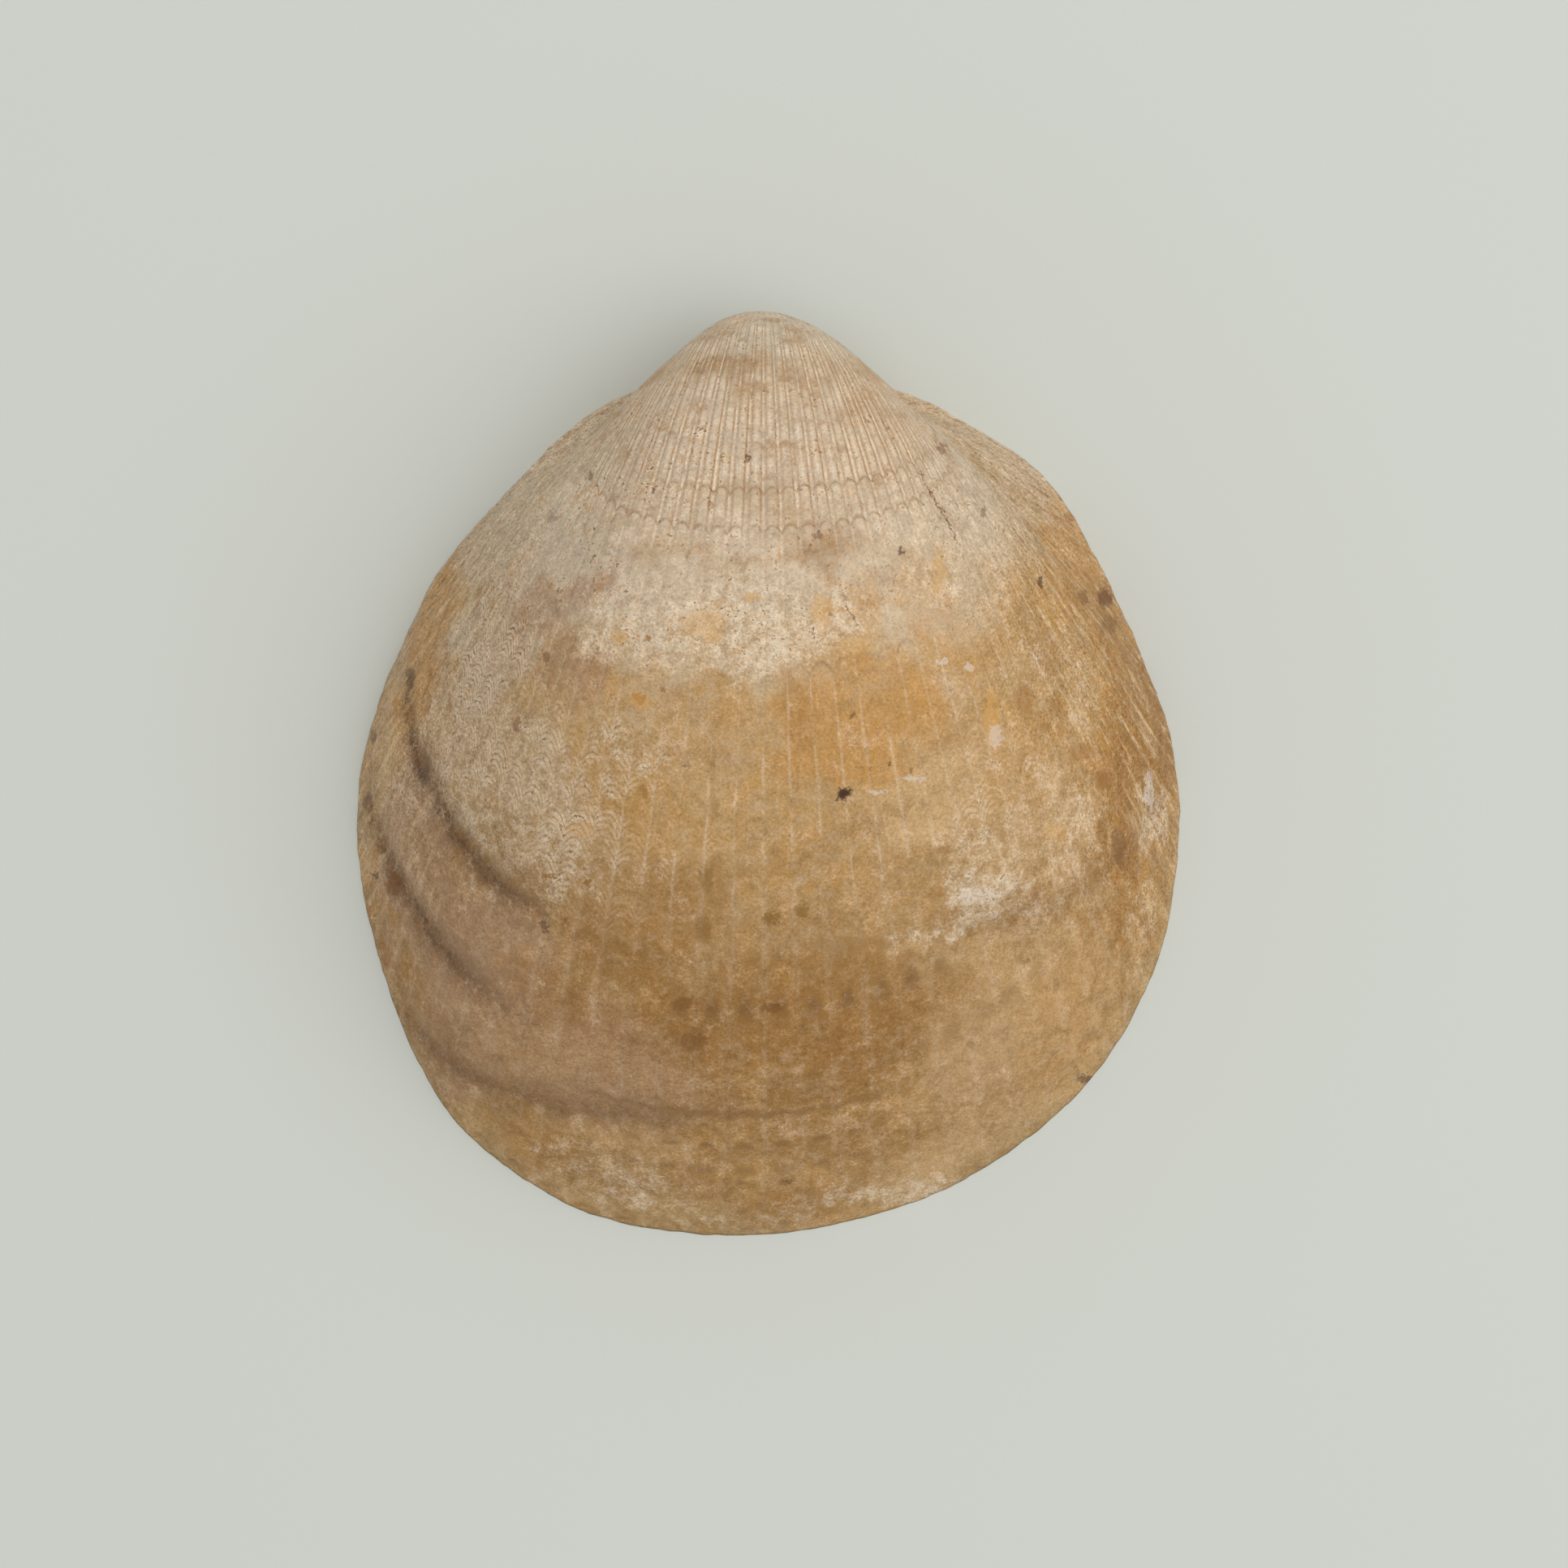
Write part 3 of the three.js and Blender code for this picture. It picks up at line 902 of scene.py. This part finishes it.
def makeShellFinish():
    material, board = newMaterial("wornShell")
    coordinates = board.get("ShaderNodeTexCoord", None, None, "Object")
    sockets = {"Vector": coordinates, "Scale": (1 / mm, 1 / mm, 1 / mm)}
    place = board.get("ShaderNodeMapping", None, sockets)  # in millimetres
    fan, size, hinge, part = [read(board, n) for n in ("fan", "size", "hinge", "part")]
    patch = {name: read(board, name) for name in patches}
    onFan = board.step(hinge, 0.9, 0.5)
    side = board.math("ABSOLUTE", fan)

    # unevenness around 0: blotches from broad to fine
    broad = board.noise(place, 0.2, 2.0, 0.5) - 0.5
    mottle = board.noise(place, 0.45, 5.0, 0.72) - 0.5
    clump = board.noise(place + (40.0, 0.0, 0.0), 1.3, 4.0, 0.75) - 0.5
    fleck = board.noise(place + (0.0, 30.0, 0.0), 3.4, 3.0, 0.7) - 0.5
    grain = board.noise(place, 6.0, 3.0, 0.75) - 0.5

    # 0 on the line between two ribs, 1 on the middle of a rib
    ribPitch = degrees(clamValve["Rib Pitch"])
    turns = fan / ribPitch + mottle * 0.12
    aside = turns - board.math("ROUND", turns)
    across = 2.0 * board.math("ABSOLUTE", aside)
    arch = across * (2.0 - across)
    stage = size + clamValve["Scallop"] * size * arch
    wavy = stage + mottle * 0.006
    young = board.step(stage, 0.50, 0.38)

    # the same along the ribs, in short dashes, and along the growth lines
    streak = board.noise(board.join(fan * 1.3, size * 11.0, 0.0), 1.0, 3.0, 0.7) - 0.5
    dash = board.noise(board.join(fan * 0.9, size * 24.0, 8.0), 1.0, 2.0, 0.6) - 0.5
    bands = board.noise(board.join(fan * 0.07, stage * 38.0, 3.0), 1.0, 4.0, 0.65) - 0.5

    # ground colour by stage, then the flanks
    level = size + broad * 0.12 + mottle * 0.12
    colour = board.get("ShaderNodeValToRGB", {"stops": stageColours}, {0: level}, "Color")
    lower = board.step(size + mottle * 0.2, 0.42, 0.66)
    left = board.step(fan + mottle * 40.0, -24.0, -48.0) * lower
    right = board.step(fan + mottle * 40.0, 28.0, 46.0) * lower
    colour = board.paint(colour, palette["leftFlank"], left * 0.7)
    colour = board.paint(colour, palette["rightFlank"], right * 0.8)

    # broken tints at every scale, and the cream shoulders beside the beak
    golden = board.step(mottle + broad * 0.9, -0.04, 0.2) * (0.5 - young * 0.25)
    colour = board.paint(colour, palette["golden"], golden)
    greyish = board.step(clump - mottle * 0.8, 0.0, 0.2) * 0.24
    colour = board.paint(colour, palette["mauveGrey"], greyish)
    creamy = board.step(clump * 0.5 - mottle + streak * 0.3, 0.0, 0.26) * (0.3 + right * 0.1)
    colour = board.paint(colour, palette["cream"], creamy)
    shoulder = board.step(side + mottle * 20.0 - board.step(fan, -1.0, 1.0) * 8.0, 48.0, 60.0)
    colour = board.paint(colour, palette["shoulder"], shoulder * 0.75)

    # the young shell: white and tan bands that follow the growth lines
    uneven = bands + mottle * 0.5 + clump * 0.2
    tan = board.step(uneven, -0.04, -0.15) * young * 0.6
    colour = board.paint(colour, palette["youngBrown"], tan)
    white = board.step(uneven, -0.03, 0.1) * young * 0.65
    colour = board.paint(colour, palette["chalk"], white)

    # translucent stains
    rough = mottle * 1.6 + grain * 0.5
    for name, (ragged, low, high, strength) in stains.items():
        share = board.step(patch[name] + rough * ragged, low, high) * strength
        colour = board.paint(colour, palette[name], share)
    colour = board.paint(colour, palette["brown"], board.step(bands, 0.02, -0.16) * lower * 0.35)

    # the chalky cover that hides the rest
    cover = board.step(patch["chalk"] + mottle * 2.6 + clump * 1.3 + grain, 0.1, 1.3)
    bare = board.most(cover, board.step(patch["ash"], 0.2, 0.9))
    chalkColour = board.paint(palette["chalkShade"], palette["chalk"], board.step(clump, -0.2, 0.1))
    colour = board.paint(colour, chalkColour, cover * 0.74)

    # ribs: a pale line between two ribs with a brown line on each side, wearing away downwards
    worn = board.step(mottle + streak * 0.8 + bands * 0.5, -0.12, 0.12)
    fresh = board.step(stage, 0.41, 0.34) * 0.8 + young * 0.2
    beakFade = board.step(size, 0.13, 0.19, 0.25)
    brownLines = board.bell(aside, -0.17, 0.08) + board.bell(aside, 0.19, 0.08) * 0.7
    brownLines = brownLines * fresh * onFan * beakFade
    brownLines = brownLines * board.step(clump + streak + bands, -0.2, 0.1)
    colour = board.paint(colour, palette["ribBrown"], brownLines * 0.9)
    old = board.band(size, 0.5, 0.64, 0.06) * (1.0 - cover * 0.7)
    paleLines = board.bell(across, 0.0, 0.15) * fresh * 0.9 + board.bell(across, 0.0, 0.12) * old * 0.3
    between = board.bell(across, 1.0, 0.16) * board.step(stage, 0.345, 0.335)
    paleLines = paleLines + between * 0.6 - board.bell(across, 0.66, 0.12) * between * 0.3
    paleLines = paleLines + board.bell(across, 0.0, 0.3) * board.step(size, 0.6, 0.7) * 0.11
    paleLines = paleLines * onFan * worn * beakFade
    colour = board.paint(colour, palette["paleRib"], paleLines)

    # streaks on the flanks
    flank = board.step(side + mottle * 20.0, 20.0, 44.0) * board.step(size, 0.4, 0.55)
    rusting = flank * board.step(fan + mottle * 20.0, -10.0, 30.0, 0.4, 0.75)
    colour = board.paint(colour, palette["cream"], board.step(streak, 0.04, 0.16) * flank * 0.65)
    colour = board.paint(colour, palette["flankRust"], board.step(streak, -0.04, -0.16) * rusting)
    colour = board.paint(colour, palette["rust"], board.step(dash, 0.15, 0.2) * rusting)
    fine = 1.2 + flank * 1.1 + cover * 0.3 - young * 0.1
    mixed = 1.0 + streak * (0.16 + young * 0.2 + flank * 0.6) + grain * fine
    mixed = mixed + mottle * 0.4 + clump * 0.7 + bands * 0.3
    colour = board.paint(colour, mixed, 1.0, "MULTIPLY")

    # growth lines: scalloped by the ribs
    scallops = 0.0
    for line, width, ends, soft, strength in scallopLines:
        shown = board.band(fan, *ends, soft) * strength
        scallops = scallops + board.bell(wavy, line, width) * shown
    scallops = scallops * onFan * board.step(clump + streak, -0.22, 0.1)
    colour = board.paint(colour, palette["arcDark"], board.least(scallops, 1.0) * 0.6)
    zone = 0.0
    for ends, soft, stages, stageSoft, strength in arcZones:
        shown = board.band(fan, *ends, soft) * strength
        zone = zone + board.band(size, *stages, stageSoft) * shown
    zone = zone * onFan * board.step(mottle + clump + bands, -0.12, 0.12) * (0.5 + 0.9 * bare)
    # pale growth lines, and dark ones that are partly colour, partly painted shade beside them
    wave = board.math("SINE", wavy * 1000.0 + clump * 5.0) + fleck * 3.0
    colour = board.paint(colour, palette["arcPale"], board.step(wave, 0.2, 1.0) * zone * 0.52)
    colour = board.paint(colour, palette["arcDark"], board.step(wave, -0.4, -1.0) * zone * 0.62)

    # ledges darkened with dirt and painted shade: a thin dark core in a soft brown band
    turned = fan * radians(1)
    ragged = size + mottle * 0.03 + clump * 0.01
    ledgeShadeAndDirt = 0.0
    for ledge in [each for each in ledges if each["dirt"]]:
        line = ledge["size"] + turned * turned * ledge["bend"] + 0.004
        near = board.bell(ragged, line, ledge["width"] * 1.4) * 0.6
        near = near + board.bell(ragged, line, ledge["width"] * 0.6) * 0.4
        near = near * board.band(fan + clump * 20.0, *ledge["fan"], ledge["soft"])
        ledgeShadeAndDirt = board.most(ledgeShadeAndDirt, near * ledge["dirt"])
    ledgeShadeAndDirt = ledgeShadeAndDirt * onFan * (0.9 + clump * 2.2)
    # the ledges get their dirt and painted shade
    colour = board.paint(colour, palette["groove"], board.least(ledgeShadeAndDirt, 0.9))

    # rows of broken dashes near the margin, inside the ribs
    inRib = board.step(across, 0.25, 0.8)
    settled = size + 0.005 * arch + mottle * 0.006
    dashes = board.bell(wavy, 0.775, 0.012) * board.band(fan, -4.0, 13.0, 5.0) * inRib
    dashes = dashes + board.bell(settled, 0.867, 0.0035) * board.band(fan, -11.0, 6.0, 5.0) * 0.8
    dashes = dashes + board.bell(wavy, 0.911, 0.004) * board.band(fan, -8.0, 5.0, 4.0) * inRib
    dashes = dashes + board.bell(settled, 0.927, 0.0035) * board.band(fan, -8.0, 4.0, 6.0) * inRib * 0.8
    dashes = dashes + board.bell(wavy, 0.842, 0.012) * board.band(fan, 8.0, 24.0, 8.0) * inRib * 0.4
    dashes = dashes * board.step(clump + mottle + grain * 0.4, -0.25, 0.1) * onFan
    colour = board.paint(colour, palette["dashes"], board.least(dashes, 1.0) * 0.76)

    # pale veins, rusty flecks and grains of dirt, thick in the chalk
    warped = place + board.join(clump * 1.6, fleck, mottle * 1.6)
    settings = {"feature": "DISTANCE_TO_EDGE"}
    veins = board.get("ShaderNodeTexVoronoi", settings, {"Vector": warped, "Scale": 1.5}, "Distance")
    veins = board.step(veins, 0.08, 0.0) * board.step(clump, -0.1, 0.1)
    colour = board.paint(colour, palette["vein"], veins * (0.14 + bare * 0.36 + flank * 0.15))
    rusty = board.step(fleck + mottle * 0.6 + cover * 0.03, 0.13, 0.17)
    colour = board.paint(colour, palette["rust"], rusty * (0.3 + bare * 0.2))
    dirty = board.step(fleck - clump * 0.4 - mottle * 0.3, -0.13, -0.17)
    colour = board.paint(colour, palette["grime"], dirty * (0.3 + bare * 0.35 + young * 0.25))

    # small marks, the ring and the cracks, with broken edges
    plan = (place + board.join(clump * 1.4, fleck * 1.2, 0.0)) * (1.0, 1.0, 0.0)
    group = makeMarkGroup("ShaderNode", False)
    for name, entries in spots.items():
        share = markField(board, "ShaderNode", entries, plan, group)
        share = share * board.step(share * 2.0 + grain * 2.2 + clump * 2.4 + fleck, 0.2, 0.8)
        colour = board.paint(colour, palette[name], share)
    fromRing = board.math("ABSOLUTE", board.length(plan - ring["middle"]) - ring["radius"])
    hairs = board.step(fromRing, 0.12, 0.0) * 0.45
    for first, last in cracks:
        hairs = board.most(hairs, crackBetween(board, plan, first, last))
    hairs = hairs * board.step(size, 0.9, 0.8) * board.step(fleck, -0.2, 0.04) * (1.0 - part)
    colour = board.paint(colour, palette["umberSpot"], hairs)

    # under the beak: the tan ligament field with its chevrons
    beside = board.math("ABSOLUTE", board.split(place)[0] + 0.3)
    chevrons = board.math("SINE", size * 190.0 - beside * 5.0)
    outerHinge = board.step(hinge, 0.9, 1.0) * board.step(part, 0.5, 0.4)
    fieldEdge = beside - size * 7.5  # 0 on the border of the field, less inside it
    behind = outerHinge * board.step(fieldEdge + mottle * 2.0, 0.0, -0.7)
    dark = board.step(chevrons, 0.1, 0.9)
    ligament = board.paint(palette["ligament"], palette["ligamentDark"], dark)
    colour = board.paint(colour, ligament, behind * 0.8)

    # the inside: porcelain white, stained brown under the umbo and on the scars
    within = board.step(part, 0.4, 0.6)
    stain = board.step(broad + mottle * 0.5, -0.14, 0.3) * board.step(size, 0.98, 0.7)
    insideColour = board.paint(palette["inside"], palette["insideStain"], stain * 0.5)
    scars = board.step(patch["scar"] + mottle * 0.6, 0.0, 1.1) * 0.3
    insideColour = board.paint(insideColour, palette["insideStain"], scars)
    insideColour = board.paint(insideColour, 1.0 + mottle * 0.3, 1.0, "MULTIPLY")
    colour = board.paint(colour, insideColour, within)

    # fine relief for the light: pores, the lines between ribs and the chevrons
    plainTurns = fan / ribPitch
    plainAside = board.math("ABSOLUTE", plainTurns - board.math("ROUND", plainTurns))
    depth = board.step(size, 0.50, 0.38) * 0.4 + 0.06
    height = board.bell(plainAside, 0.0, 0.1) * depth * onFan * -1.0
    grooved = outerHinge * board.step(fieldEdge, 0.0, -0.7)
    height = height + grain * (1.0 - within * 0.6) + chevrons * grooved * 0.5
    sockets = {"Height": height, "Strength": 0.6, "Distance": 0.09 * mm}
    bump = board.get("ShaderNodeBump", None, sockets)

    shade(board, {
        "Base Color": colour,
        "Roughness": 0.46 + cover * 0.3 + young * 0.14,
        "Specular IOR Level": 0.25,
        "Normal": bump,
    })
    print("finish ready:", len(board.tree.nodes), "nodes")
    return material


floor = {
    "halfWidth": 0.6,
    "level": -0.02 * mm,  # a little under the shell, so that no two faces share a plane
    "colour": tint(207, 210, 203),
}


def makeTable():
    material, board = newMaterial("paleTable")
    shade(board, {"Base Color": floor["colour"], "Roughness": 0.8, "Specular IOR Level": 0.1})
    reach = floor["halfWidth"]
    corners = [(-reach, -reach), (reach, -reach), (reach, reach), (-reach, reach)]
    plain = bpy.data.meshes.new("table")
    plain.from_pydata([(x, y, floor["level"]) for x, y in corners], [], [(0, 1, 2, 3)])
    plain.materials.append(material)
    addObject("table", plain)


light = {
    "sky": 0.60,  # even light from all sides
    "panelPower": 2.7,  # watts
    "panelSize": 0.8,
    "panelPlace": (0.27, 0.10, 0.58),
}


def makeLights():
    world = bpy.data.worlds.new("studio")
    bpy.context.scene.world = world
    world.use_nodes = True
    sky = world.node_tree.nodes["Background"].inputs
    sky["Color"].default_value = (1.0, 1.0, 0.99, 1.0)
    sky["Strength"].default_value = light["sky"]
    panel = bpy.data.lights.new("panel", "AREA")
    panel.size = light["panelSize"]
    panel.energy = light["panelPower"]
    lamp = addObject("panel", panel)
    lamp.location = light["panelPlace"]
    lamp.rotation_euler = (-lamp.location).to_track_quat("-Z", "Y").to_euler()


camera = {
    "middle": (0.925 * mm, -0.525 * mm),  # the point of the table at the picture's centre
    "height": 0.6,
    "across": 96.6 * mm,  # the width of table that the picture covers
    "sensor": 36.0,
}


def makeCamera():
    eye = bpy.data.cameras.new("overhead")
    eye.sensor_width = camera["sensor"]
    eye.lens = camera["sensor"] * camera["height"] / camera["across"]
    eye.clip_start = 0.01
    stand = addObject("overhead", eye)
    stand.location = (*camera["middle"], camera["height"])
    bpy.context.scene.camera = stand
    bpy.context.scene.view_settings.view_transform = "Standard"


makeCamera()
makeLights()
makeTable()
print("table, light and camera ready")

valve = growValve(makeShellFinish())
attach(valve, "root")
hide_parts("valve")
